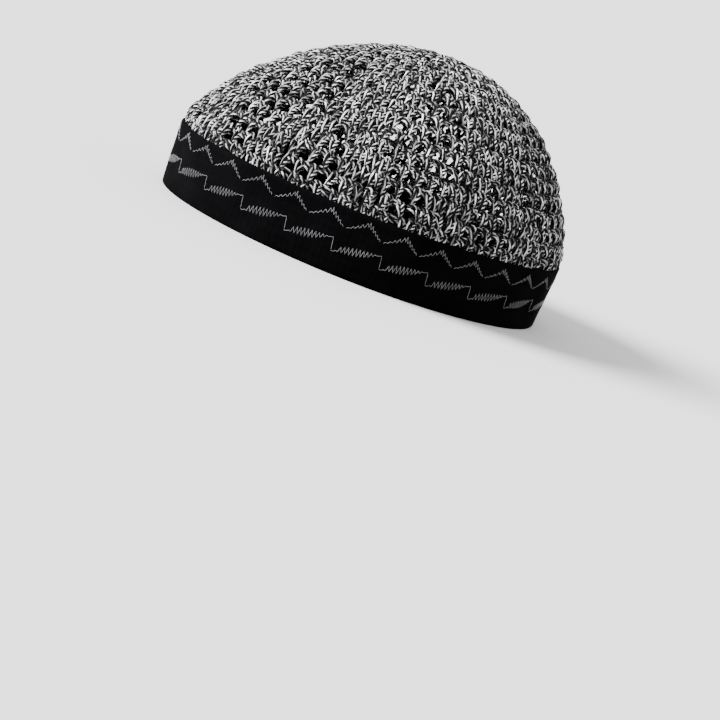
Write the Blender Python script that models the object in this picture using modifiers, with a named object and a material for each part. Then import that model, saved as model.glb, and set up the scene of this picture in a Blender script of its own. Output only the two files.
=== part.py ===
"""Crocheted chechia skull cap: an openwork crown on a folded cloth headband."""

from bisect import bisect_right
from math import cos, pi, radians, sin

import bmesh
import bpy
from mathutils import Matrix, Vector

# Sizes in metres. The forehead faces -Y, the wearer's left is +X, and the cap rests on its band.
CAP_LENGTH = 0.207         # over the band's top edge, front to back
CAP_WIDTH = 0.158          # over the band's top edge, ear to ear
CAP_HEIGHT = 0.1105
CROWN_SET_BACK = 0.013     # the crown's top lies behind the middle of the band
BAND_HEIGHT = 0.033
BAND_WALL = 0.0028         # two layers of cotton knit, folded at the foot
BAND_LEAN = 0.0015         # the band's top edge stands out past its foot
FOLD_RADIUS = 0.0009
HEM_CHAMFER = 0.0003
CROWN_WALL = 0.0034        # looped yarn lies nearly two strands deep
TUCK = 0.009               # the crown's first round is sewn inside the band
SEAM_GAP = 0.0003
BULGE_RISE = 0.0036        # height over which the crown swells out above the band
EYELET_WIDTH = 0.0056
EYELET_HEIGHT = 0.0062
EYELET_PITCH = 0.0104

# Shape of the oval plan and of the dome's two profiles; a power of 2 and a root of 0.5 make an ellipse.
PLAN_POWER = 1.9
LENGTH_POWER = 1.35
LENGTH_ROOT = 0.488
WIDTH_POWER = 1.88
WIDTH_ROOT = 0.51

SECTORS = 6
SIDES = 60
DOME_ROUNDS = 18
PATTERN_TURN = radians(5)  # the side lozenges stand a little behind the ears

# Openwork of one sector. place: share of the dome's slope from the band to the crown's centre.
# lozenge, wedge: eyelets side by side in the lozenge, and in the wedge between two lozenges.
EYELET_CHART = (
    # place, lozenge, wedge
    (0.075, 1, 3),
    (0.160, 2, 1),
    (0.245, 3, 0),
    (0.330, 4, 0),
    (0.415, 3, 0),
    (0.500, 2, 0),
    (0.585, 1, 0),
)


def clearScene():
    for obj in list(bpy.data.objects):
        bpy.data.objects.remove(obj, do_unlink=True)


def newCollection(name):
    collection = bpy.data.collections.new(name)
    bpy.context.scene.collection.children.link(collection)
    return collection


def newMaterial(name, colour, roughness):
    material = bpy.data.materials.new(name)
    material.use_nodes = True
    shader = material.node_tree.nodes["Principled BSDF"]
    shader.inputs["Base Color"].default_value = (*colour, 1)
    shader.inputs["Roughness"].default_value = roughness
    shader.inputs["Metallic"].default_value = 0
    return material


def newObject(name, bm, collection, material=None):
    mesh = bpy.data.meshes.new(name)
    bm.to_mesh(mesh)
    bm.free()
    obj = bpy.data.objects.new(name, mesh)
    collection.objects.link(obj)
    if material:
        mesh.materials.append(material)
    return obj


def ovalPoint(angle, longShare, wideShare, inset, z, back):
    """Point on the oval at an angle from the wearer's left towards the back."""
    halfWidth = max(CAP_WIDTH / 2 * wideShare - inset, 0)
    halfLength = max(CAP_LENGTH / 2 * longShare - inset, 0)
    side = cos(angle)
    along = sin(angle)
    power = 2 / PLAN_POWER
    x = halfWidth * abs(side) ** power * (1 if side > 0 else -1)
    y = halfLength * abs(along) ** power * (1 if along > 0 else -1)
    return Vector((x, y + back, z))


def bandInset(z):
    """How far the band's outer face lies inside its top edge."""
    return BAND_LEAN * (1 - min(z / BAND_HEIGHT, 1))


def spinProfile(profile, closed):
    """Turn a profile of (longShare, wideShare, inset, z, back) rows once round the oval."""
    bm = bmesh.new()
    first = [bm.verts.new((1, 0, row)) for row in range(len(profile))]
    edges = [bm.edges.new(pair) for pair in zip(first, first[1:])]
    if closed:
        edges.append(bm.edges.new((first[-1], first[0])))
    bmesh.ops.spin(bm, geom=first + edges, axis=(0, 0, 1), cent=(0, 0, 0), angle=2 * pi,
                   steps=SIDES, use_merge=True)
    bmesh.ops.remove_doubles(bm, verts=bm.verts, dist=0.0001)
    for vert in bm.verts:
        turn = Vector((vert.co.x, vert.co.y)).angle_signed(Vector((1, 0)))
        vert.co = ovalPoint(turn, *profile[round(vert.co.z)])
    bmesh.ops.remove_doubles(bm, verts=bm.verts, dist=0.00001)
    bmesh.ops.recalc_face_normals(bm, faces=bm.faces)
    return bm


def longShare(rise):
    return max(1 - rise ** LENGTH_POWER, 0) ** LENGTH_ROOT


def wideShare(rise):
    return max(1 - rise ** WIDTH_POWER, 0) ** WIDTH_ROOT


def meanRadius(rise):
    return (CAP_LENGTH * longShare(rise) + CAP_WIDTH * wideShare(rise)) / 4


def domeRow(rise):
    """Row of the crown's outer face; rise runs from 0 at the band's top edge to 1 at the top."""
    z = BAND_HEIGHT + (CAP_HEIGHT - BAND_HEIGHT) * rise
    swell = min((z - BAND_HEIGHT - SEAM_GAP) / BULGE_RISE, 1)
    swell = max(swell, 0)
    swell = swell * swell * (3 - 2 * swell)
    inset = (BAND_WALL + SEAM_GAP) * (1 - swell)
    return longShare(rise), wideShare(rise), inset, z, CROWN_SET_BACK * rise ** 1.5


def evenRises(count):
    """Rises that divide the dome's slope into equal steps, the last one at the crown's centre."""
    samples = 600
    rises = [1 - (1 - step / samples) ** 2 for step in range(samples + 1)]
    points = [(meanRadius(rise), rise * (CAP_HEIGHT - BAND_HEIGHT)) for rise in rises]
    lengths = [0.0]
    for (r0, z0), (r1, z1) in zip(points, points[1:]):
        lengths.append(lengths[-1] + ((r1 - r0) ** 2 + (z1 - z0) ** 2) ** 0.5)
    even = []
    index = 0
    for step in range(count + 1):
        target = lengths[-1] * step / count
        while index < samples - 1 and lengths[index + 1] < target:
            index += 1
        span = lengths[index + 1] - lengths[index]
        even.append(rises[index] + (rises[index + 1] - rises[index]) * (target - lengths[index]) / span)
    even[-1] = 1.0
    return even


def makeBand(collection, material):
    outer = bandInset(0)
    foot = FOLD_RADIUS
    corner = (1 - cos(pi / 4)) * foot
    profile = [
        (1, 1, HEM_CHAMFER, BAND_HEIGHT, 0),
        (1, 1, bandInset(BAND_HEIGHT - HEM_CHAMFER), BAND_HEIGHT - HEM_CHAMFER, 0),
        (1, 1, bandInset(foot), foot, 0),
        (1, 1, outer + corner, corner, 0),
        (1, 1, outer + foot, 0, 0),
        (1, 1, outer + BAND_WALL - foot, 0, 0),
        (1, 1, outer + BAND_WALL - corner, corner, 0),
        (1, 1, bandInset(foot) + BAND_WALL, foot, 0),
        (1, 1, bandInset(BAND_HEIGHT - HEM_CHAMFER) + BAND_WALL, BAND_HEIGHT - HEM_CHAMFER, 0),
        (1, 1, BAND_WALL - HEM_CHAMFER, BAND_HEIGHT, 0),
    ]
    band = newObject("band", spinProfile(profile, True), collection, material)
    band.data.shade_smooth()
    band.data.set_sharp_from_angle(angle=radians(35))
    return band


def makeCrown(collection, material):
    hidden = BAND_WALL + SEAM_GAP
    tuckFoot = BAND_HEIGHT - TUCK
    profile = [(1, 1, bandInset(tuckFoot) + hidden, tuckFoot, 0)]
    profile.append((1, 1, hidden, BAND_HEIGHT, 0))
    swellEnd = (SEAM_GAP + BULGE_RISE) / (CAP_HEIGHT - BAND_HEIGHT)
    profile.append(domeRow(swellEnd * 0.5))
    for rise in evenRises(DOME_ROUNDS)[1:]:
        profile.append(domeRow(rise))
    bm = spinProfile(profile, False)
    crown = newObject("crown", bm, collection, material)
    shell = crown.modifiers.new("wall", "SOLIDIFY")
    shell.thickness = CROWN_WALL
    shell.offset = -1
    shell.use_even_offset = True
    shell.use_rim = True
    crown.data.shade_smooth()
    return crown


def roundLengths(row):
    """Distance round the oval at one height of the dome, for each half degree of angle."""
    points = [ovalPoint(radians(step / 2), *row) for step in range(721)]
    lengths = [0.0]
    for start, end in zip(points, points[1:]):
        lengths.append(lengths[-1] + (end - start).length)
    return lengths


def angleAt(lengths, distance):
    distance %= lengths[-1]
    step = min(bisect_right(lengths, distance) - 1, len(lengths) - 2)
    share = (distance - lengths[step]) / (lengths[step + 1] - lengths[step])
    return radians((step + share) / 2)


def eyeletPlaces():
    """Centre and outward direction of each eyelet on the crown's outer face."""
    rises = evenRises(1000)
    places = []
    for place, lozenge, wedge in EYELET_CHART:
        rise = rises[round(place * 1000)]
        row = domeRow(rise)
        above = domeRow(rises[round(place * 1000) + 12])
        lengths = roundLengths(row)
        for sector in range(SECTORS):
            for count, middle in ((lozenge, 0.0), (wedge, 0.5)):
                share = PATTERN_TURN / (2 * pi) + (sector + middle) / SECTORS
                for index in range(count):
                    offset = (index - (count - 1) / 2) * EYELET_PITCH
                    angle = angleAt(lengths, share * lengths[-1] + offset)
                    centre = ovalPoint(angle, *row)
                    beside = ovalPoint(angle + 0.02, *row)
                    up = ovalPoint(angle, *above) - centre
                    outward = (beside - centre).cross(up).normalized()
                    places.append((centre, outward, up.normalized()))
    return places


def makeEyeletCutters(collection):
    bm = bmesh.new()
    for centre, outward, up in eyeletPlaces():
        across = up.cross(outward)
        frame = Matrix((across, up, outward)).transposed().to_4x4()
        frame.translation = centre - outward * CROWN_WALL / 2
        size = Matrix.Diagonal((EYELET_WIDTH, EYELET_HEIGHT, CROWN_WALL * 2.5, 1))
        turn = Matrix.Rotation(pi / 6, 4, "Z")
        bmesh.ops.create_cone(bm, cap_ends=True, segments=6, radius1=0.5, radius2=0.5, depth=1,
                              matrix=frame @ size @ turn)
    cutters = newObject("eyelet_cutters", bm, collection)
    cutters.hide_render = True
    cutters.display_type = "WIRE"
    return cutters


def cutEyelets(crown, cutters):
    cut = crown.modifiers.new("eyelets", "BOOLEAN")
    cut.operation = "DIFFERENCE"
    cut.solver = "EXACT"
    cut.object = cutters


def main():
    clearScene()
    parts = newCollection("chechia_skull_cap")
    tools = newCollection("cutters")
    yarn = newMaterial("marled_yarn", (0.33, 0.33, 0.34), 0.85)
    cloth = newMaterial("black_cotton_knit", (0.008, 0.008, 0.010), 0.9)
    makeBand(parts, cloth)
    crown = makeCrown(parts, yarn)
    cutEyelets(crown, makeEyeletCutters(tools))


main()
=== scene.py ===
import math
import random

import bmesh
import bpy
from mathutils import Matrix, Vector


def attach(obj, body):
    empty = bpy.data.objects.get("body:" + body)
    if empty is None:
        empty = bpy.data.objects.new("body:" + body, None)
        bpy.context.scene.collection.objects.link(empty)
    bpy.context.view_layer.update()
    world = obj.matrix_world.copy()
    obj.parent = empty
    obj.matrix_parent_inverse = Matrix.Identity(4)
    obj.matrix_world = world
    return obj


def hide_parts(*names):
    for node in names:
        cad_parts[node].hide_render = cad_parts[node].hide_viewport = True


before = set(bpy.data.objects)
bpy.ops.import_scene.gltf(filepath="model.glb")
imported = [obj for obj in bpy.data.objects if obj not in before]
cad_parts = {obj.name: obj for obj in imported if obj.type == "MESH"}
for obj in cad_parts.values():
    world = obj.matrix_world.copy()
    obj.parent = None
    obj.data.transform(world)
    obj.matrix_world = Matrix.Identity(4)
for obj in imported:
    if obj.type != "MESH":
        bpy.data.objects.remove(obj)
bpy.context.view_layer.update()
print("cap: frame loaded")

# the cap's form, metres
capForm = {
    "length": 0.207,         # over the band's top edge, front to back
    "width": 0.158,
    "height": 0.1105,
    "bandHeight": 0.033,
    "bandWall": 0.0028,
    "bandLean": 0.0015,      # the top edge stands out past the foot
    "seamGap": 0.0003,
    "bulgeRise": 0.0036,     # height over which the crown swells out above the band
    "setBack": 0.013,        # the crown's top lies behind the band's middle
    "planPower": 1.9,        # of the oval; 2 makes an ellipse
    "longPower": 1.35, "longRoot": 0.488,
    "widePower": 1.88, "wideRoot": 0.51,
}


def clamp(value, low=0.0, high=1.0):
    return max(low, min(high, value))


def longShare(rise):
    return max(1 - rise ** capForm["longPower"], 0) ** capForm["longRoot"]


def wideShare(rise):
    return max(1 - rise ** capForm["widePower"], 0) ** capForm["wideRoot"]


def ovalPoint(angle, longPart, widePart, inset, z, back=0.0):
    halfWidth = max(capForm["width"] / 2 * widePart - inset, 0)
    halfLength = max(capForm["length"] / 2 * longPart - inset, 0)
    side, along, power = math.cos(angle), math.sin(angle), 2 / capForm["planPower"]
    x = math.copysign(halfWidth * abs(side) ** power, side)
    y = math.copysign(halfLength * abs(along) ** power, along)
    return Vector((x, y + back, z))


def domePoint(angle, rise):
    # rise runs from 0 at the band's top edge to 1 at the cap's top
    z = capForm["bandHeight"] + (capForm["height"] - capForm["bandHeight"]) * rise
    swell = clamp((z - capForm["bandHeight"] - capForm["seamGap"]) / capForm["bulgeRise"])
    swell = swell * swell * (3 - 2 * swell)
    hidden = (capForm["bandWall"] + capForm["seamGap"]) * (1 - swell)
    return ovalPoint(angle, longShare(rise), wideShare(rise), hidden, z, capForm["setBack"] * rise ** 1.5)


def bandPoint(angle, z, out=0.0):
    # out: distance outwards from the band's outer face
    inset = capForm["bandLean"] * (1 - min(z / capForm["bandHeight"], 1))
    return ovalPoint(angle, 1, 1, inset - out, z)


def lookUp(table, target):
    # table: rows of (length so far, value), length rising
    low, high = 0, len(table) - 1
    while high - low > 1:
        middle = (low + high) // 2
        if table[middle][0] <= target:
            low = middle
        else:
            high = middle
    (l0, v0), (l1, v1) = table[low], table[high]
    return v0 + (v1 - v0) * (target - l0) / max(l1 - l0, 1e-12)


def slopeTable(samples=800):
    # length up the dome's slope against rise, closer together near the top
    rows, total, last = [], 0.0, None
    for step in range(samples + 1):
        rise = 1 - (1 - step / samples) ** 2
        radius = (capForm["length"] * longShare(rise) + capForm["width"] * wideShare(rise)) / 4
        point = (radius, rise * (capForm["height"] - capForm["bandHeight"]))
        total += math.dist(point, last) if last else 0
        rows.append((total, rise))
        last = point
    return rows


def roundTable(samples=1440):
    # length round the band's top edge against angle
    rows, total, last = [], 0.0, None
    for step in range(samples + 1):
        angle = step / samples * 2 * math.pi
        point = bandPoint(angle, capForm["bandHeight"])
        total += (point - last).length if last else 0
        rows.append((total, angle))
        last = point
    return rows


slopes = slopeTable()
rounds = roundTable()
slopeLength = slopes[-1][0]
roundLength = rounds[-1][0]


def riseAt(length):
    return clamp(lookUp(slopes, clamp(length, 0, slopeLength)))


def angleAt(length):
    turns = math.floor(length / roundLength)
    return lookUp(rounds, length - turns * roundLength) + turns * 2 * math.pi


print(f"cap: round {roundLength * 1000:.0f} mm, slope {slopeLength * 1000:.0f} mm")


# node helpers
def addNode(tree, kind, settings=None, **values):
    node = tree.nodes.new(kind)
    for name, value in (settings or {}).items():
        setattr(node, name, value)
    for name, value in values.items():
        setInput(tree, node, name.replace("_", " "), value)
    return node


def setInput(tree, node, name, value):
    if isinstance(value, bpy.types.NodeSocket):
        tree.links.new(value, node.inputs[name])
    else:
        node.inputs[name].default_value = value


def setRange(node, limits):
    # limits: from min, from max and, where they aren't 0 and 1, to min and to max
    for name, value in zip(("From Min", "From Max", "To Min", "To Max"), limits):
        node.inputs[name].default_value = value


def link(tree, output, target):
    tree.links.new(output, target)


def newNodeTree(name, sockets):
    tree = bpy.data.node_groups.new(name, "GeometryNodeTree")
    tree.interface.new_socket("Geometry", in_out="INPUT", socket_type="NodeSocketGeometry")
    for label, kind, value in sockets:
        socket = tree.interface.new_socket(label, in_out="INPUT", socket_type=kind)
        if value is not None:
            socket.default_value = value
    tree.interface.new_socket("Geometry", in_out="OUTPUT", socket_type="NodeSocketGeometry")
    return tree


def giveInputs(modifier, values):
    for item in modifier.node_group.interface.items_tree:
        if item.in_out == "INPUT" and item.name in values:
            modifier[item.identifier] = values[item.name]


def sweepStrands(tree, curve, ring, material):
    # closed strands along the curves, realised and coated
    sweep = addNode(tree, "GeometryNodeCurveToMesh")
    sweep.inputs["Fill Caps"].default_value = True
    link(tree, curve, sweep.inputs["Curve"])
    link(tree, ring, sweep.inputs["Profile Curve"])
    smooth = addNode(tree, "GeometryNodeSetShadeSmooth")
    link(tree, sweep.outputs["Mesh"], smooth.inputs["Geometry"])
    real = addNode(tree, "GeometryNodeRealizeInstances")
    link(tree, smooth.outputs["Geometry"], real.inputs["Geometry"])
    coat = addNode(tree, "GeometryNodeSetMaterial", Material=material)
    link(tree, real.outputs["Geometry"], coat.inputs["Geometry"])
    return coat.outputs["Geometry"]


def bake(obj, tree, values, name):
    # the tree's result as a plain mesh object; the object it was worked on goes
    modifier = obj.modifiers.new("make", "NODES")
    modifier.node_group = tree
    giveInputs(modifier, values)
    bpy.context.view_layer.update()
    evaluated = obj.evaluated_get(bpy.context.evaluated_depsgraph_get())
    mesh = bpy.data.meshes.new_from_object(evaluated)
    mesh.name = name
    obj.modifiers.remove(modifier)
    bpy.data.objects.remove(obj, do_unlink=True)
    piece = bpy.data.objects.new(name, mesh)
    bpy.context.scene.collection.objects.link(piece)
    return piece


# shader groups
def shaderGroup(name, inputs, outputs):
    tree = bpy.data.node_groups.new(name, "ShaderNodeTree")
    for label, kind, value in inputs:
        socket = tree.interface.new_socket(label, in_out="INPUT", socket_type=kind)
        socket.default_value = value
    for label, kind in outputs:
        tree.interface.new_socket(label, in_out="OUTPUT", socket_type=kind)
    return tree, tree.nodes.new("NodeGroupInput"), tree.nodes.new("NodeGroupOutput")


def makeFibreGroup():
    # soft cotton fibre: mottled colour and a fine fuzz
    tree, given, result = shaderGroup("cottonFibre", [
        ("Light", "NodeSocketColor", (0.8, 0.8, 0.8, 1)),
        ("Dark", "NodeSocketColor", (0.5, 0.5, 0.5, 1)),
        ("Fibre Scale", "NodeSocketFloat", 1800.0),
        ("Mottle Scale", "NodeSocketFloat", 160.0),
    ], [("Color", "NodeSocketColor"), ("Height", "NodeSocketFloat")])
    place = addNode(tree, "ShaderNodeTexCoord")
    fibre = addNode(tree, "ShaderNodeTexNoise", Detail=3.0, Roughness=0.6)
    mottle = addNode(tree, "ShaderNodeTexNoise", Detail=2.0)
    link(tree, place.outputs["Object"], fibre.inputs["Vector"])
    link(tree, place.outputs["Object"], mottle.inputs["Vector"])
    link(tree, given.outputs["Fibre Scale"], fibre.inputs["Scale"])
    link(tree, given.outputs["Mottle Scale"], mottle.inputs["Scale"])
    add = addNode(tree, "ShaderNodeMath", {"operation": "MULTIPLY_ADD"})
    link(tree, fibre.outputs["Fac"], add.inputs[0])
    add.inputs[1].default_value = 0.6
    link(tree, mottle.outputs["Fac"], add.inputs[2])
    spread = addNode(tree, "ShaderNodeMapRange")
    link(tree, add.outputs[0], spread.inputs["Value"])
    setRange(spread, (0.55, 1.05))
    mix = addNode(tree, "ShaderNodeMix", {"data_type": "RGBA"})
    link(tree, spread.outputs["Result"], mix.inputs["Factor"])
    link(tree, given.outputs["Dark"], mix.inputs[6])
    link(tree, given.outputs["Light"], mix.inputs[7])
    link(tree, mix.outputs[2], result.inputs["Color"])
    link(tree, fibre.outputs["Fac"], result.inputs["Height"])
    return tree


fibreGroup = makeFibreGroup()


def newMaterial(name, roughness):
    material = bpy.data.materials.new(name)
    material.use_nodes = True
    tree = material.node_tree
    shader = tree.nodes["Principled BSDF"]
    shader.inputs["Roughness"].default_value = roughness
    shader.inputs["Specular IOR Level"].default_value = 0.25
    return material, tree, shader


def addFibres(tree, look):
    group = addNode(tree, "ShaderNodeGroup", {"node_tree": fibreGroup})
    group.inputs["Light"].default_value = look["light"]
    group.inputs["Dark"].default_value = look["dark"]
    group.inputs["Fibre Scale"].default_value = look["fibreScale"]
    group.inputs["Mottle Scale"].default_value = look["mottleScale"]
    return group


# crocheted crown
crochet = {
    "rounds": 16,
    "sectors": 6,
    "stitchWidth": 0.00385,      # along a round
    "patternTurn": 5.0,          # degrees from the ear towards the back
    "yarnRadius": 0.00090,
    "sides": 6,
    "step": 0.00105,             # along a strand
    "unevenness": 0.0013,
    "tucked": 0.0040,            # how far the first round reaches down inside the band
    "lean": -0.10,               # of a stitch, as a slope; below 0 it leans against the way round
    "stagger": 0.22,             # rounds stand over each other's gaps, in stitches
    "depth": 0.0012,             # how far the stitches' middle lies under the cap's outer face
    "seed": 7,
    # round, eyelets side by side in a lozenge, eyelets side by side in the wedge between lozenges
    "openwork": {
        0: (1, 4), 1: (2, 4), 2: (3, 3), 3: (4, 2), 4: (5, 1), 5: (6, 0),
        6: (5, 0), 7: (4, 0), 8: (3, 0), 9: (2, 0), 10: (1, 0),
    },
}

# how uneven the hand leaves each stitch: shares of its width or height, or metres where it says so
handwork = {
    "lean": 0.15,
    "width": (0.88, 1.12), "height": (0.94, 1.08),
    "sideways": 0.12, "upwards": 0.08,
    "outwards": (-0.0005, 0.0003),           # metres
    "footRise": (0.0002, 0.0009),            # metres, of the chain at the band's top edge
    "besideEyelet": 0.94, "betweenEyelets": 0.86,    # widths of stitches next to eyelets
    "openedBy": 0.06,                        # an eyelet pushes its neighbours aside
}

# the yarn's look: two white plies, light and dark of fibre, and two black ones; painted shade darkens yarn that
# lies deeper in a stitch
marl = {
    "light": (0.92, 0.92, 0.91, 1), "dark": (0.20, 0.20, 0.20, 1),
    "fibreScale": 1500.0, "mottleScale": 260.0,
    "black": (0.0012, 0.0012, 0.0014, 1),
    "whiteEdge": (0.02, 0.82),                   # cosine of the way round a ply where white starts and is full
    "paintedDepthShade": (-0.22, 0.32, 0.03, 1.0),      # painted shade: yarn that lies deeper in the stitch is painted darker
    "paintedInsideShade": (-0.30, -0.38, 0.0, 0.45),    # the chain on the cap's inside lies open again: painted shade, lifted partly, to at most 0.45
    "twist": (0.55, 1.5), "twistSeed": 33,       # share of the usual pace of the plies, for each strand
    "tone": (0.22, 1.0), "toneSeed": 91,         # brightness of each strand
}

# where a strand is worked: over an eyelet, in a full stitch or in the chain at the band
works = {"open": 0.0, "full": 1.0, "foot": 2.0}

# one stitch, in shares of its width (across), its round's height (up) and its width again (out)
# kind: where it is worked, length of yarn that shows one white and one black ply, thickness, points
strands = {
    "leftLeg": ("full", 0.0110, 1.0, [(0.08, -0.10, -0.26), (0.00, 0.14, 0.08), (-0.20, 0.44, 0.32),
                                      (-0.42, 0.74, 0.22), (-0.52, 0.96, -0.20)]),
    "rightLeg": ("full", 0.0027, 1.0, [(0.06, -0.06, -0.26), (0.12, 0.16, 0.12), (0.24, 0.42, 0.32),
                                        (0.38, 0.70, 0.20), (0.48, 0.92, -0.16)]),
    "ridge": ("full", 0.0044, 0.85, [(-0.60, 0.98, -0.12), (-0.26, 1.04, 0.08), (0.10, 0.96, 0.16),
                                     (0.38, 0.84, 0.08), (0.60, 0.80, -0.14)]),
    "backRidge": ("full", 0.0060, 0.9, [(-0.60, 0.30, -0.34), (-0.20, 0.42, -0.40), (0.22, 0.52, -0.40),
                                        (0.60, 0.62, -0.34)]),
    "bridge": ("open", 0.0036, 1.0, [(-0.72, 0.66, -0.14), (-0.34, 0.72, 0.14), (0.06, 0.72, 0.24),
                                     (0.42, 0.66, 0.14), (0.72, 0.56, -0.12)]),
    "bridgeBack": ("open", 0.0060, 1.0, [(-0.72, 0.92, -0.22), (-0.20, 0.98, 0.04), (0.22, 0.96, 0.10),
                                         (0.72, 0.88, -0.18)]),
    "footChain": ("foot", 0.0034, 0.75, [(-0.70, 0.06, 0.02), (-0.20, 0.12, 0.16), (0.26, 0.02, 0.18),
                                         (0.70, -0.04, 0.02)]),
}


def strandCurve(name, points):
    data = bpy.data.curves.new(name, "CURVE")
    data.dimensions = "3D"
    spline = data.splines.new("BEZIER")
    spline.bezier_points.add(len(points) - 1)
    for target, point in zip(spline.bezier_points, points):
        target.co = point
        target.handle_left_type = target.handle_right_type = "AUTO"
    spline.resolution_u = 5
    obj = bpy.data.objects.new(name, data)
    bpy.context.scene.collection.objects.link(obj)
    return obj


def makeYarnMaterial():
    # the plies wind round each strand: around holds twice its angle as a direction, phase its turn
    material, tree, shader = newMaterial("marledYarn", 0.85)
    shader.inputs["Specular IOR Level"].default_value = 0.08
    around = addNode(tree, "ShaderNodeAttribute", {"attribute_name": "around"})
    phase = addNode(tree, "ShaderNodeAttribute", {"attribute_name": "phase"})
    depth = addNode(tree, "ShaderNodeAttribute", {"attribute_name": "depth"})
    cosine = addNode(tree, "ShaderNodeMath", {"operation": "COSINE"})
    sine = addNode(tree, "ShaderNodeMath", {"operation": "SINE"})
    link(tree, phase.outputs["Fac"], cosine.inputs[0])
    link(tree, phase.outputs["Fac"], sine.inputs[0])
    turned = addNode(tree, "ShaderNodeCombineXYZ")
    link(tree, cosine.outputs[0], turned.inputs["X"])
    link(tree, sine.outputs[0], turned.inputs["Y"])
    facing = addNode(tree, "ShaderNodeVectorMath", {"operation": "DOT_PRODUCT"})
    link(tree, around.outputs["Vector"], facing.inputs[0])
    link(tree, turned.outputs["Vector"], facing.inputs[1])
    group = addFibres(tree, marl)
    isWhite = addNode(tree, "ShaderNodeMapRange", {"interpolation_type": "SMOOTHSTEP"})
    link(tree, facing.outputs["Value"], isWhite.inputs["Value"])
    setRange(isWhite, marl["whiteEdge"])
    plies = addNode(tree, "ShaderNodeMix", {"data_type": "RGBA"})
    link(tree, isWhite.outputs["Result"], plies.inputs["Factor"])
    plies.inputs[6].default_value = marl["black"]
    link(tree, group.outputs["Color"], plies.inputs[7])
    # painted shade: the yarn's colour is darkened by how deep the strand lies in the stitch
    paintedShade = addNode(tree, "ShaderNodeMapRange", {"interpolation_type": "SMOOTHSTEP"})
    link(tree, depth.outputs["Fac"], paintedShade.inputs["Value"])
    setRange(paintedShade, marl["paintedDepthShade"])
    # painted shade for the chain on the cap's inside, partly lifted; the brighter of the two painted shades is
    # kept
    inside = addNode(tree, "ShaderNodeMapRange")
    link(tree, depth.outputs["Fac"], inside.inputs["Value"])
    setRange(inside, marl["paintedInsideShade"])
    paintedShading = addNode(tree, "ShaderNodeMath", {"operation": "MAXIMUM"})
    link(tree, paintedShade.outputs["Result"], paintedShading.inputs[0])
    link(tree, inside.outputs["Result"], paintedShading.inputs[1])
    # random tone of each strand, times the painted shade
    tone = addNode(tree, "ShaderNodeAttribute", {"attribute_name": "tone"})
    toneWithPaintedShade = addNode(tree, "ShaderNodeMath", {"operation": "MULTIPLY"})
    link(tree, paintedShading.outputs[0], toneWithPaintedShade.inputs[0])
    link(tree, tone.outputs["Fac"], toneWithPaintedShade.inputs[1])
    pliesWithPaintedShade = addNode(tree, "ShaderNodeVectorMath", {"operation": "SCALE"})
    link(tree, plies.outputs[2], pliesWithPaintedShade.inputs[0])
    link(tree, toneWithPaintedShade.outputs[0], pliesWithPaintedShade.inputs["Scale"])
    link(tree, pliesWithPaintedShade.outputs["Vector"], shader.inputs["Base Color"])
    # each ply stands out a little, with its fibres on it
    size = addNode(tree, "ShaderNodeMath", {"operation": "ABSOLUTE"})
    link(tree, facing.outputs["Value"], size.inputs[0])
    rounded = addNode(tree, "ShaderNodeMath", {"operation": "POWER"})
    link(tree, size.outputs[0], rounded.inputs[0])
    rounded.inputs[1].default_value = 0.5
    height = addNode(tree, "ShaderNodeMath", {"operation": "MULTIPLY_ADD"})
    link(tree, group.outputs["Height"], height.inputs[0])
    height.inputs[1].default_value = 0.35
    link(tree, rounded.outputs[0], height.inputs[2])
    bumped = addNode(tree, "ShaderNodeBump", Strength=0.7, Distance=0.00025)
    link(tree, height.outputs[0], bumped.inputs["Height"])
    link(tree, bumped.outputs["Normal"], shader.inputs["Normal"])
    return material


def storeValue(tree, geometry, name, value, kind="FLOAT"):
    node = addNode(tree, "GeometryNodeStoreNamedAttribute", {"data_type": kind, "domain": "POINT"}, Name=name)
    link(tree, geometry, node.inputs["Geometry"])
    setInput(tree, node, "Value", value)
    return node.outputs["Geometry"]


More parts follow.
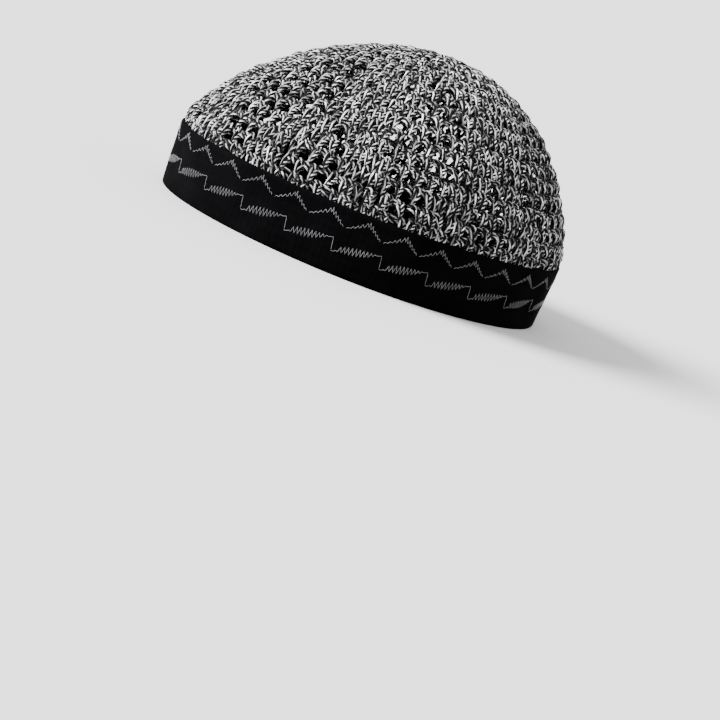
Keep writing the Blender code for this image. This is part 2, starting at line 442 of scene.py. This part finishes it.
def makeYarnTree(material):
    tree = newNodeTree("twistedYarn", [(kind, "NodeSocketObject", None) for kind in strands] + [
        ("Step", "NodeSocketFloat", crochet["step"]),
        ("Yarn Radius", "NodeSocketFloat", crochet["yarnRadius"]),
        ("Sides", "NodeSocketInt", crochet["sides"]),
        ("Unevenness", "NodeSocketFloat", crochet["unevenness"]),
        ("Seed", "NodeSocketInt", crochet["seed"]),
    ])
    given = addNode(tree, "NodeGroupInput")
    result = addNode(tree, "NodeGroupOutput")
    outward = addNode(tree, "GeometryNodeInputNamedAttribute", {"data_type": "FLOAT_VECTOR"}, Name="outward")
    upward = addNode(tree, "GeometryNodeInputNamedAttribute", {"data_type": "FLOAT_VECTOR"}, Name="upward")
    size = addNode(tree, "GeometryNodeInputNamedAttribute", {"data_type": "FLOAT_VECTOR"}, Name="size")
    work = addNode(tree, "GeometryNodeInputNamedAttribute", {"data_type": "FLOAT"}, Name="work")
    axes = addNode(tree, "FunctionNodeAxesToRotation", {"primary_axis": "Z", "secondary_axis": "Y"})
    link(tree, outward.outputs["Attribute"], axes.inputs["Primary Axis"])
    link(tree, upward.outputs["Attribute"], axes.inputs["Secondary Axis"])
    chosen = {}
    for kind, value in works.items():
        same = addNode(tree, "FunctionNodeCompare", {"data_type": "FLOAT", "operation": "EQUAL"})
        link(tree, work.outputs["Attribute"], same.inputs[0])
        same.inputs[1].default_value = value
        chosen[kind] = same.outputs["Result"]
    join = addNode(tree, "GeometryNodeJoinGeometry")
    where = addNode(tree, "GeometryNodeInputPosition")
    parts = addNode(tree, "ShaderNodeSeparateXYZ")
    link(tree, where.outputs["Position"], parts.inputs["Vector"])
    for kind, (worked, plyLength, thickness, points) in strands.items():
        info = addNode(tree, "GeometryNodeObjectInfo")
        link(tree, given.outputs[kind], info.inputs["Object"])
        # each strand point's height in the stitch, which sets the yarn's painted shade
        marked = storeValue(tree, info.outputs["Geometry"], "depth", parts.outputs["Z"])
        marked = storeValue(tree, marked, "pace", 1 / plyLength)
        thick = addNode(tree, "GeometryNodeSetCurveRadius", Radius=thickness)
        link(tree, marked, thick.inputs["Curve"])
        place = addNode(tree, "GeometryNodeInstanceOnPoints")
        link(tree, given.outputs["Geometry"], place.inputs["Points"])
        link(tree, thick.outputs["Curve"], place.inputs["Instance"])
        link(tree, axes.outputs["Rotation"], place.inputs["Rotation"])
        link(tree, size.outputs["Attribute"], place.inputs["Scale"])
        link(tree, chosen[worked], place.inputs["Selection"])
        link(tree, place.outputs["Instances"], join.inputs["Geometry"])
    loose = addNode(tree, "GeometryNodeRealizeInstances")
    link(tree, join.outputs["Geometry"], loose.inputs["Geometry"])
    even = addNode(tree, "GeometryNodeResampleCurve", {"mode": "LENGTH"})
    link(tree, loose.outputs["Geometry"], even.inputs["Curve"])
    link(tree, given.outputs["Step"], even.inputs["Length"])
    # hand-made unevenness, the same each time
    noise = addNode(tree, "ShaderNodeTexNoise", {"noise_dimensions": "4D"}, Scale=260.0, Detail=1.0)
    link(tree, where.outputs["Position"], noise.inputs["Vector"])
    link(tree, given.outputs["Seed"], noise.inputs["W"])
    centred = addNode(tree, "ShaderNodeVectorMath", {"operation": "SUBTRACT"})
    link(tree, noise.outputs["Color"], centred.inputs[0])
    centred.inputs[1].default_value = (0.5, 0.5, 0.5)
    amount = addNode(tree, "ShaderNodeVectorMath", {"operation": "SCALE"})
    link(tree, centred.outputs["Vector"], amount.inputs["Vector"])
    link(tree, given.outputs["Unevenness"], amount.inputs["Scale"])
    move = addNode(tree, "GeometryNodeSetPosition")
    link(tree, even.outputs["Curve"], move.inputs["Geometry"])
    link(tree, amount.outputs["Vector"], move.inputs["Offset"])
    # the plies' turn along each strand, started anywhere
    along = addNode(tree, "GeometryNodeSplineParameter")
    pace = addNode(tree, "GeometryNodeInputNamedAttribute", {"data_type": "FLOAT"}, Name="pace")
    which = addNode(tree, "GeometryNodeCurveOfPoint")
    start = addNode(tree, "FunctionNodeRandomValue", {"data_type": "FLOAT"})
    link(tree, which.outputs["Curve Index"], start.inputs["ID"])
    link(tree, given.outputs["Seed"], start.inputs["Seed"])
    twist = addNode(tree, "FunctionNodeRandomValue", {"data_type": "FLOAT"})
    twist.inputs[2].default_value, twist.inputs[3].default_value = marl["twist"]
    link(tree, which.outputs["Curve Index"], twist.inputs["ID"])
    twist.inputs["Seed"].default_value = marl["twistSeed"]
    paced = addNode(tree, "ShaderNodeMath", {"operation": "MULTIPLY"})
    link(tree, pace.outputs["Attribute"], paced.inputs[0])
    link(tree, twist.outputs[1], paced.inputs[1])
    turns = addNode(tree, "ShaderNodeMath", {"operation": "MULTIPLY_ADD"})
    link(tree, along.outputs["Length"], turns.inputs[0])
    link(tree, paced.outputs[0], turns.inputs[1])
    link(tree, start.outputs[1], turns.inputs[2])
    radians = addNode(tree, "ShaderNodeMath", {"operation": "MULTIPLY"})
    link(tree, turns.outputs[0], radians.inputs[0])
    radians.inputs[1].default_value = 2 * math.pi
    phased = storeValue(tree, move.outputs["Geometry"], "phase", radians.outputs[0])
    tone = addNode(tree, "FunctionNodeRandomValue", {"data_type": "FLOAT"})
    tone.inputs[2].default_value, tone.inputs[3].default_value = marl["tone"]
    link(tree, which.outputs["Curve Index"], tone.inputs["ID"])
    tone.inputs["Seed"].default_value = marl["toneSeed"]
    phased = storeValue(tree, phased, "tone", tone.outputs[1])
    # twice the angle round the strand, as a direction
    circle = addNode(tree, "GeometryNodeCurvePrimitiveCircle", {"mode": "RADIUS"})
    link(tree, given.outputs["Sides"], circle.inputs["Resolution"])
    link(tree, given.outputs["Yarn Radius"], circle.inputs["Radius"])
    twice = addNode(tree, "ShaderNodeMath", {"operation": "MULTIPLY"})
    angle = addNode(tree, "ShaderNodeMath", {"operation": "ARCTAN2"})
    link(tree, parts.outputs["Y"], angle.inputs[0])
    link(tree, parts.outputs["X"], angle.inputs[1])
    link(tree, angle.outputs[0], twice.inputs[0])
    twice.inputs[1].default_value = 2.0
    sine = addNode(tree, "ShaderNodeMath", {"operation": "SINE"})
    cosine = addNode(tree, "ShaderNodeMath", {"operation": "COSINE"})
    link(tree, twice.outputs[0], sine.inputs[0])
    link(tree, twice.outputs[0], cosine.inputs[0])
    direction = addNode(tree, "ShaderNodeCombineXYZ")
    link(tree, cosine.outputs[0], direction.inputs["X"])
    link(tree, sine.outputs[0], direction.inputs["Y"])
    ring = storeValue(tree, circle.outputs["Curve"], "around", direction.outputs["Vector"], "FLOAT_VECTOR")
    link(tree, sweepStrands(tree, phased, ring, material), result.inputs["Geometry"])
    return tree


def girthAt(length, samples=72):
    girth = 0.0
    last = None
    for step in range(samples + 1):
        point = domePoint(step / samples * 2 * math.pi, riseAt(length))
        girth += (point - last).length if last else 0
        last = point
    return girth


def eyeletColumns(row, count):
    # every second stitch is left open, about the lozenge's middle and the wedge's
    lozenge, wedge = crochet["openwork"].get(row, (0, 0))
    columns = set()
    for index in range(lozenge):
        columns.add(2 * index - (lozenge - 1))
    for index in range(wedge):
        columns.add(round(count / 2 + 2 * index - (wedge - 1)))
    return {column % count for column in columns}


def stitchFrame(angle, foot, head):
    # a stitch's foot, its three directions and its height, between two lengths up the slope
    low = domePoint(angle, riseAt(max(foot, 0)))
    if foot < 0:
        low.z += foot
    middle = riseAt((max(foot, 0) + head) / 2)
    beside = 0.01    # radians
    side = domePoint(angle + beside, middle) - domePoint(angle - beside, middle)
    upward = domePoint(angle, riseAt(head)) - low
    tall = upward.length
    upward.normalize()
    side -= upward * side.dot(upward)
    side.normalize()
    return low, side, upward, side.cross(upward).normalized(), tall


def stitchPlaces():
    # for each sector: rows of (place, outward, upward, size, work)
    rng = random.Random(crochet["seed"])
    sectors = [[] for _ in range(crochet["sectors"])]
    height = (slopeLength + crochet["tucked"]) / crochet["rounds"]
    turn = crochet["patternTurn"] / 360
    sideways, upwards = handwork["sideways"], handwork["upwards"]
    for row in range(crochet["rounds"]):
        foot = row * height - crochet["tucked"]
        head = foot + height
        girth = girthAt((foot + head) / 2)
        count = max(1, round(girth / crochet["sectors"] / crochet["stitchWidth"]))
        if crochet["openwork"].get(row, (0, 0))[1]:
            count = 2 * round(count / 2)    # an even count puts a stitch at the wedge's middle
        columns = eyeletColumns(row, count)
        spread = girth / crochet["sectors"] / count
        stagger = crochet["stagger"] * (1 if row % 2 else -1)
        for sector in range(crochet["sectors"]):
            for column in range(count):
                share = (sector + (column + stagger) / count) / crochet["sectors"] + turn
                angle = angleAt(share * roundLength)
                low, side, upward, outward, tall = stitchFrame(angle, foot, head)
                leaned = (upward + side * rng.gauss(crochet["lean"], handwork["lean"])).normalized()
                before, after = (column - 1) % count in columns, (column + 1) % count in columns
                if before != after:
                    low += side * spread * (handwork["openedBy"] if before else -handwork["openedBy"])
                wide = spread * rng.uniform(*handwork["width"])
                if before or after:
                    wide = spread * handwork["betweenEyelets" if before and after else "besideEyelet"]
                place = low - outward * crochet["depth"]
                place += side * rng.uniform(-sideways, sideways) * spread
                place += upward * rng.uniform(-upwards, upwards) * tall
                place += outward * rng.uniform(*handwork["outwards"])
                size = (wide, tall * rng.uniform(*handwork["height"]), crochet["stitchWidth"])
                work = works["open" if column in columns else "full"]
                sectors[sector].append((place, outward, leaned, size, work))
                if row == 0:
                    place = domePoint(angle, 0) - outward * crochet["depth"]
                    place.z += rng.uniform(*handwork["footRise"])
                    size = (spread, tall, crochet["stitchWidth"])
                    sectors[sector].append((place, outward, upward, size, works["foot"]))
    return sectors


def pointsObject(name, rows):
    mesh = bpy.data.meshes.new(name)
    mesh.from_pydata([row[0] for row in rows], [], [])
    for label, column in (("outward", 1), ("upward", 2), ("size", 3)):
        attribute = mesh.attributes.new(label, "FLOAT_VECTOR", "POINT")
        attribute.data.foreach_set("vector", [value for row in rows for value in row[column]])
    attribute = mesh.attributes.new("work", "FLOAT", "POINT")
    attribute.data.foreach_set("value", [row[4] for row in rows])
    obj = bpy.data.objects.new(name, mesh)
    bpy.context.scene.collection.objects.link(obj)
    return obj


def makeCrown():
    shapes = {kind: strandCurve(kind, points) for kind, (_, _, _, points) in strands.items()}
    tree = makeYarnTree(makeYarnMaterial())
    pieces = []
    total = 0
    for index, rows in enumerate(stitchPlaces()):
        points = pointsObject(f"stitchPoints{index + 1}", rows)
        values = {**shapes, "Seed": crochet["seed"] + index}
        piece = bake(points, tree, values, f"crochet_panel_{index + 1}")
        piece.data.calc_loop_triangles()
        total += len(piece.data.loop_triangles)
        print(f"cap: {piece.name} has {len(rows)} stitches, {len(piece.data.loop_triangles)} triangles")
        pieces.append(piece)
    for obj in shapes.values():
        bpy.data.objects.remove(obj, do_unlink=True)
    print(f"cap: crown has {total} triangles")
    return pieces


crownPieces = makeCrown()
for piece in crownPieces:
    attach(piece, "root")
    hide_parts("crown")


# cloth headband
band = {
    "sides": 288,
    "outerRows": 14, "foldRows": 4, "innerRows": 6,
    "fold": 0.0011,            # roundness of the folded foot
    "hem": 0.0005,
    "ribPitch": 0.00471, "walePitch": 0.0033,
    "ripple": 0.00022,
    "light": (0.0012, 0.0012, 0.0014, 1), "dark": (0.0004, 0.0004, 0.0005, 1),
    "fibreScale": 900.0, "mottleScale": 60.0,
}


def bandProfile():
    # rows of (distance in from the outer face, height), round the closed section
    top, wall, fold, hem = capForm["bandHeight"], capForm["bandWall"], band["fold"], band["hem"]
    outerRows, foldRows, innerRows = band["outerRows"], band["foldRows"], band["innerRows"]
    rows = [(hem, top), (hem * 0.3, top - hem * 0.3), (0, top - hem)]
    rows += [(0, top - hem - (top - hem - fold) * step / outerRows) for step in range(1, outerRows + 1)]
    for step in range(1, foldRows + 1):
        turn = step / foldRows * math.pi / 2
        rows.append((fold * (1 - math.cos(turn)), fold * (1 - math.sin(turn))))
    for step in range(foldRows + 1):
        turn = step / foldRows * math.pi / 2
        rows.append((wall - fold * (1 - math.sin(turn)), fold * (1 - math.cos(turn))))
    rows += [(wall, fold + (top - hem - fold) * step / innerRows) for step in range(1, innerRows + 1)]
    rows.append((wall - hem, top))
    return rows


def waveScale(pitch):
    # a wave texture of scale 1 turns 20 radians in a metre
    return 2 * math.pi / 20 / pitch


def makeBandMaterial():
    material, tree, shader = newMaterial("blackCottonKnit", 0.92)
    shader.inputs["Specular IOR Level"].default_value = 0.01
    place = addNode(tree, "ShaderNodeUVMap", {"uv_map": "cloth"})
    group = addFibres(tree, band)
    ribs = addNode(tree, "ShaderNodeTexWave", {"bands_direction": "Y", "wave_profile": "SIN"},
                   Distortion=1.2, Detail=2.0, Detail_Scale=1.5)
    ribs.inputs["Scale"].default_value = waveScale(band["ribPitch"])
    link(tree, place.outputs["UV"], ribs.inputs["Vector"])
    wales = addNode(tree, "ShaderNodeTexWave", {"bands_direction": "X", "wave_profile": "SIN"},
                    Distortion=0.8, Detail=1.0)
    wales.inputs["Scale"].default_value = waveScale(band["walePitch"])
    link(tree, place.outputs["UV"], wales.inputs["Vector"])
    both = addNode(tree, "ShaderNodeMath", {"operation": "MULTIPLY_ADD"})
    link(tree, wales.outputs["Fac"], both.inputs[0])
    both.inputs[1].default_value = 0.5
    link(tree, ribs.outputs["Fac"], both.inputs[2])
    summed = addNode(tree, "ShaderNodeMath", {"operation": "ADD"})
    link(tree, both.outputs[0], summed.inputs[0])
    link(tree, group.outputs["Height"], summed.inputs[1])
    bumped = addNode(tree, "ShaderNodeBump", Strength=0.6, Distance=0.00018)
    link(tree, summed.outputs[0], bumped.inputs["Height"])
    link(tree, bumped.outputs["Normal"], shader.inputs["Normal"])
    link(tree, group.outputs["Color"], shader.inputs["Base Color"])
    return material


def ripple(length, z):
    # the sewn cloth is not quite even: whole waves round the band, nothing at its foot and its top edge
    high = clamp(z / capForm["bandHeight"])
    turn = length / roundLength * 2 * math.pi
    wave = math.sin(turn * 15) + 0.6 * math.sin(turn * 25 + 1.3) + 0.5 * math.sin(turn * 7 + high * 5)
    return band["ripple"] * wave * math.sin(high * math.pi)


def makeBand():
    profile = bandProfile()
    sides = band["sides"]
    bm = bmesh.new()
    uv = bm.loops.layers.uv.new("cloth")
    grid = []
    for side in range(sides):
        length = side / sides * roundLength
        angle = angleAt(length)
        grid.append([bm.verts.new(bandPoint(angle, z, -inset + ripple(length, z)))
                     for inset, z in profile])
    lengths = [0.0]
    for first, second in zip(profile, profile[1:] + profile[:1]):
        lengths.append(lengths[-1] + math.dist(first, second))
    for side in range(sides):
        for row in range(len(profile)):
            after = (row + 1) % len(profile)
            face = bm.faces.new((grid[side][row], grid[side][after],
                                 grid[(side + 1) % sides][after], grid[(side + 1) % sides][row]))
            face.smooth = True
            places = ((side, row), (side, row + 1), (side + 1, row + 1), (side + 1, row))
            for loop, (u, v) in zip(face.loops, places):
                loop[uv].uv = (u / sides * roundLength, lengths[v])
    bmesh.ops.recalc_face_normals(bm, faces=bm.faces)
    mesh = bpy.data.meshes.new("headband")
    bm.to_mesh(mesh)
    bm.free()
    mesh.materials.append(makeBandMaterial())
    piece = bpy.data.objects.new("headband", mesh)
    bpy.context.scene.collection.objects.link(piece)
    return piece


headband = makeBand()
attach(headband, "root")
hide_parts("band")
print("cap: headband made")


# embroidery: thread laid on the band in two rows
thread = {
    "radius": 0.00006,
    "lift": 0.00012,
    "sides": 5,
    "light": (0.21, 0.21, 0.225, 1), "dark": (0.105, 0.105, 0.11, 1),
    "fibreScale": 1800.0, "mottleScale": 160.0,
}
# top and foot lie below the band's top edge, the first repeat starts behind the left ear
peakRow = {
    "count": 30, "top": 0.0031, "foot": 0.0094, "start": 0.0053,
    "drift": 0.0008,               # the row lies this much lower at the back and higher over the forehead
    "shoulder": 0.0008, "tip": 0.0007,           # under the top and over it
    "risePoints": 10, "riseFrom": 0.02, "riseSpan": 0.52, "riseSwing": (0.0002, 0.0012),
    "tipAt": 0.555,
    "fallPoints": 9, "fallFrom": 0.56, "fallSpan": 0.38, "fallSwing": (0.0003, 0.0012),
}
pulseRow = {
    "count": 23, "top": 0.0160, "foot": 0.0221, "start": 0.0085,
    "drift": 0.0005,
    "strokes": 10, "strokesFrom": 0.111, "strokesSpan": 0.736,
    "slant": 0.018,                # half a stroke's share along the row
    # (share along, share of the height) before the strokes and after them
    "lead": [(0.00, 0.0), (0.05, 0.0), (0.092, 0.13)],
    "drop": [(0.86, 0.93), (0.95, 1.04), (0.965, 0.98), (0.985, 0.40), (1.0, 0.0)],
}


def peakUnit():
    # one mountain, zigzag up and down: (share along, drop below the band's top edge)
    top, foot, shoulder = peakRow["top"], peakRow["foot"], peakRow["shoulder"]
    (riseLeast, riseMore), (fallLeast, fallMore) = peakRow["riseSwing"], peakRow["fallSwing"]
    points = []
    for index in range(peakRow["risePoints"] + 1):
        share = index / peakRow["risePoints"]
        middle = foot + (top + shoulder - foot) * share ** 1.15
        swing = (riseLeast + riseMore * share ** 1.2) * (-1 if index % 2 else 1)
        points.append((peakRow["riseFrom"] + peakRow["riseSpan"] * share, middle + swing))
    points.append((peakRow["tipAt"], top - peakRow["tip"]))
    for index in range(1, peakRow["fallPoints"] + 1):
        share = index / peakRow["fallPoints"]
        middle = top + shoulder + (foot - top - shoulder) * share
        swing = (fallLeast + fallMore * (1 - share) ** 0.9) * (1 if index % 2 else -1)
        points.append((peakRow["fallFrom"] + peakRow["fallSpan"] * share, middle + swing))
    return points


def pulseUnit():
    # one pulse: a train of slanted strokes whose tops climb early and whose feet climb late, then a drop
    heights = list(pulseRow["lead"])
    for index in range(pulseRow["strokes"]):
        share = (index + 0.5) / pulseRow["strokes"]
        along = pulseRow["strokesFrom"] + pulseRow["strokesSpan"] * share
        heights.append((along - pulseRow["slant"], 0.05 + 0.80 * share ** 2.6))
        heights.append((along + pulseRow["slant"], 0.98 - 0.50 * (1 - share) ** 3))
    heights += pulseRow["drop"]
    tall = pulseRow["foot"] - pulseRow["top"]
    return [(along, pulseRow["foot"] - tall * height) for along, height in heights]


def threadCurve(name, unit, row):
    data = bpy.data.curves.new(name, "CURVE")
    data.dimensions = "3D"
    pitch = roundLength / row["count"]
    for copy in range(row["count"]):
        run = [(row["start"] + (copy + share) * pitch, drop) for share, drop in unit]
        path = []
        for (l0, d0), (l1, d1) in zip(run, run[1:]):
            # each stitch starts in the cloth and lies on it for the rest of its length
            for step, lift in ((0.0, -0.4), (0.25, 1.0), (0.75, 1.0)):
                length, drop = l0 + (l1 - l0) * step, d0 + (d1 - d0) * step
                drift = row["drift"] * math.sin(length / roundLength * 2 * math.pi)
                z = capForm["bandHeight"] - drop - drift
                out = thread["lift"] * lift + ripple(length % roundLength, z)
                path.append(bandPoint(angleAt(length), z, out))
        spline = data.splines.new("POLY")
        spline.points.add(len(path) - 1)
        for target, point in zip(spline.points, path):
            target.co = (*point, 1)
    obj = bpy.data.objects.new(name, data)
    bpy.context.scene.collection.objects.link(obj)
    return obj


def makeThreadMaterial():
    material, tree, shader = newMaterial("greyEmbroideryThread", 0.6)
    group = addFibres(tree, thread)
    bumped = addNode(tree, "ShaderNodeBump", Strength=0.3, Distance=0.0002)
    link(tree, group.outputs["Color"], shader.inputs["Base Color"])
    link(tree, group.outputs["Height"], bumped.inputs["Height"])
    link(tree, bumped.outputs["Normal"], shader.inputs["Normal"])
    return material


def makeThreadTree(material):
    tree = newNodeTree("laidThread", [("Radius", "NodeSocketFloat", thread["radius"])])
    given = addNode(tree, "NodeGroupInput")
    result = addNode(tree, "NodeGroupOutput")
    circle = addNode(tree, "GeometryNodeCurvePrimitiveCircle", {"mode": "RADIUS"}, Resolution=thread["sides"])
    link(tree, given.outputs["Radius"], circle.inputs["Radius"])
    strand = sweepStrands(tree, given.outputs["Geometry"], circle.outputs["Curve"], material)
    link(tree, strand, result.inputs["Geometry"])
    return tree


threadTree = makeThreadTree(makeThreadMaterial())
for name, unit, row in (
    ("peak_embroidery", peakUnit(), peakRow),
    ("pulse_embroidery", pulseUnit(), pulseRow),
):
    piece = bake(threadCurve(name, unit, row), threadTree, {}, name)
    piece.data.calc_loop_triangles()
    print(f"cap: {name} has {len(piece.data.loop_triangles)} triangles")
    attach(piece, "root")


# floor, light and camera
studio = {
    "azimuth": 82.9, "elevation": 12.40, "roll": 22.29,
    "distance": 1.0, "focal": 1970.4,         # focal length in pixels of a picture 720 wide
    "aim": (0.01291, 0.10032),                # the cap stands this far right of the picture's middle, and above it
    "target": (0, 0, 0.05),
    "world": 2.5,
    "floor": 0.378, "floorSize": 60,
    "key": 26.0, "keyFrom": (0.15, -1.3, 0.75), "keyAngle": 25.0,
}


def makeFloor():
    bpy.ops.mesh.primitive_plane_add(size=studio["floorSize"], location=(0, 0, 0))
    floor = bpy.context.object
    floor.name = "studio_floor"
    material, tree, shader = newMaterial("paleFloor", 0.9)
    shader.inputs["Specular IOR Level"].default_value = 0.0
    shader.inputs["Base Color"].default_value = (studio["floor"], studio["floor"], studio["floor"], 1)
    floor.data.materials.append(material)


def makeLights():
    world = bpy.data.worlds.new("studioWorld")
    bpy.context.scene.world = world
    world.use_nodes = True
    background = world.node_tree.nodes["Background"]
    background.inputs["Color"].default_value = (1, 1, 1, 1)
    background.inputs["Strength"].default_value = studio["world"]
    data = bpy.data.lights.new("keyLight", "SUN")
    data.energy = studio["key"]
    data.angle = math.radians(studio["keyAngle"])
    lamp = bpy.data.objects.new("keyLight", data)
    lamp.location = studio["keyFrom"]
    lamp.rotation_euler = Vector(studio["keyFrom"]).to_track_quat("Z", "Y").to_euler()
    bpy.context.scene.collection.objects.link(lamp)


def makeCamera():
    azimuth, elevation, roll = (math.radians(studio[key]) for key in ("azimuth", "elevation", "roll"))
    back = Vector((math.sin(azimuth) * math.cos(elevation), -math.cos(azimuth) * math.cos(elevation),
                   math.sin(elevation)))
    right = Vector((math.cos(azimuth), math.sin(azimuth), 0))
    up = back.cross(right)
    turned = right * math.cos(roll) + up * math.sin(roll)
    upright = up * math.cos(roll) - right * math.sin(roll)
    data = bpy.data.cameras.new("studioCamera")
    data.sensor_width = 36.0
    data.lens = studio["focal"] / 720 * 36.0
    data.clip_start, data.clip_end = 0.05, 100
    camera = bpy.data.objects.new("studioCamera", data)
    place = Vector(studio["target"]) + back * studio["distance"]
    place -= turned * studio["aim"][0] + upright * studio["aim"][1]
    camera.matrix_world = Matrix((
        (turned.x, upright.x, back.x, place.x),
        (turned.y, upright.y, back.y, place.y),
        (turned.z, upright.z, back.z, place.z),
        (0, 0, 0, 1),
    ))
    bpy.context.scene.collection.objects.link(camera)
    bpy.context.scene.camera = camera


makeFloor()
makeLights()
makeCamera()
print("cap: studio made")

print("cap: done")
